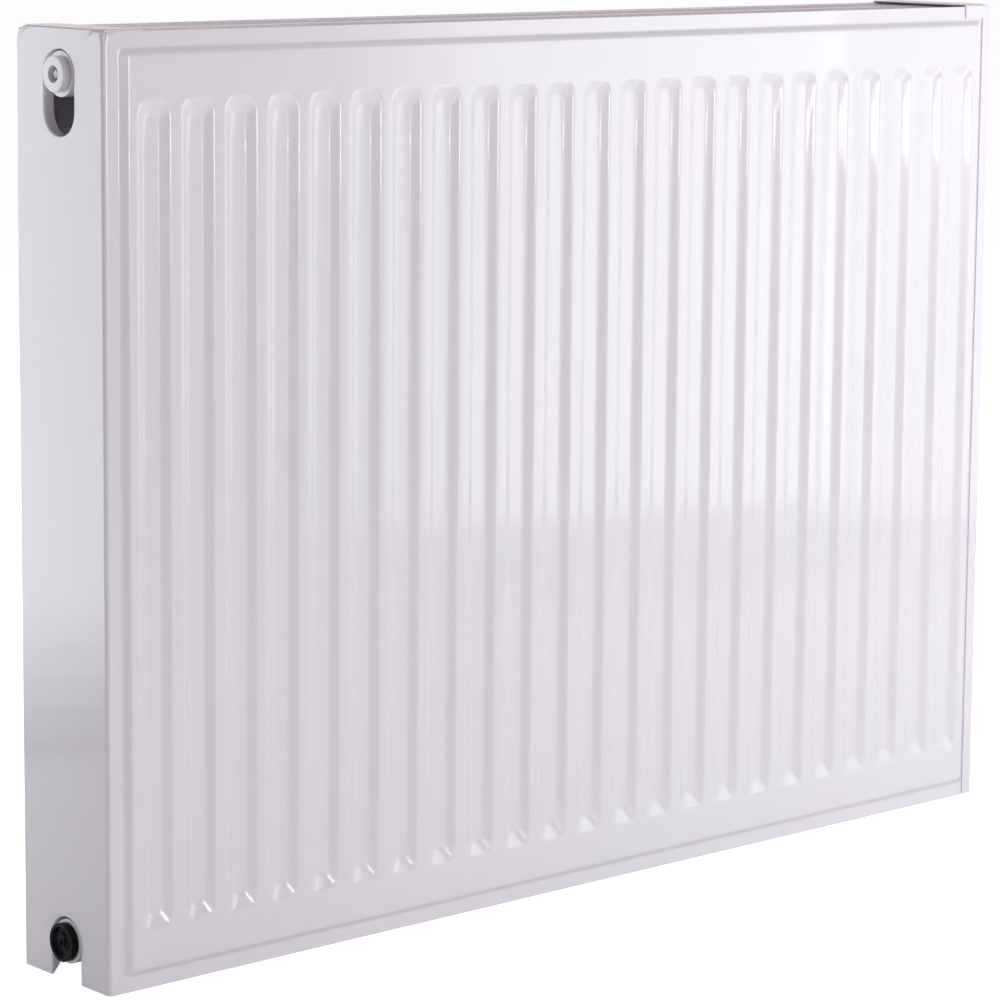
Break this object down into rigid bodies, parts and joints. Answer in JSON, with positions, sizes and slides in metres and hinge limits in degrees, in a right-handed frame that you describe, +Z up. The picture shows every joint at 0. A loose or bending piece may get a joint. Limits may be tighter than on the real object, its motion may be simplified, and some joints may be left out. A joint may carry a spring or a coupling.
{
  "type": "panel radiator",
  "caption": "Double-panel convector radiator of pressed steel with grooved faces, lift-off top grille and side covers, threaded corner tappings, vent plug and rear hanging lugs.",
  "frame": {"origin": "under the middle of the whole, at the level of the panels' lower edges", "axes": "+X along the length towards the right-hand end seen from the room, -Y towards the room, +Y towards the wall, +Z up"},
  "size_m": [0.8122, 0.109, 0.6],
  "materials": {
    "enamel": "gloss white enamel",
    "cover_enamel": "gloss white enamel on thin sheet",
    "fin_enamel": "thin white enamel on convector sheet",
    "plug_enamel": "gloss white plug heads",
    "black_plastic": "moulded black plastic",
    "brass": "turned brass, nickel flash",
    "rubber": "black seal rubber",
    "spring_steel": "bright zinc spring steel"
  },
  "bodies": {
    "radiator_body": {"front_outer_sheet": "enamel", "front_inner_sheet": "enamel", "rear_inner_sheet": "enamel", "rear_outer_sheet": "enamel", "front_convector": "fin_enamel", "rear_convector": "fin_enamel", "tee_top_left": "enamel", "tee_top_right": "enamel", "tee_bottom_left": "enamel", "tee_bottom_right": "enamel", "vent_plug": "plug_enamel", "vent_plug_seal": "rubber", "blanking_plug": "plug_enamel", "blanking_plug_seal": "rubber", "lug_top_left": "enamel", "lug_top_right": "enamel", "lug_bottom_left": "enamel", "lug_bottom_right": "enamel"},
    "bleed_screw": {"bleed_screw": "brass"},
    "transit_plug": {"transit_plug": "black_plastic"},
    "top_grille": {"top_grille": "cover_enamel", "grille_clips": "spring_steel"},
    "left_side_cover": {"left_side_cover": "cover_enamel"},
    "right_side_cover": {"right_side_cover": "cover_enamel"}
  },
  "joints": [
    {"name": "bleed_screw_turn", "type": "hinge", "parent": "radiator_body", "child": "bleed_screw", "pos_m": [-0.398, -0.0045, 0.5715], "axis": [-1, 0, 0], "range_deg": [0, 360]},
    {"name": "transit_plug_pull", "type": "slide", "parent": "radiator_body", "child": "transit_plug", "axis": [-1, 0, 0], "range_m": [0, 0.02]},
    {"name": "top_grille_lift", "type": "slide", "parent": "radiator_body", "child": "top_grille", "axis": [0, 0, 1], "range_m": [0, 0.045]},
    {"name": "left_side_cover_lift", "type": "slide", "parent": "radiator_body", "child": "left_side_cover", "axis": [0, 0, 1], "range_m": [0, 0.022]},
    {"name": "right_side_cover_lift", "type": "slide", "parent": "radiator_body", "child": "right_side_cover", "axis": [0, 0, 1], "range_m": [0, 0.022]}
  ]
}
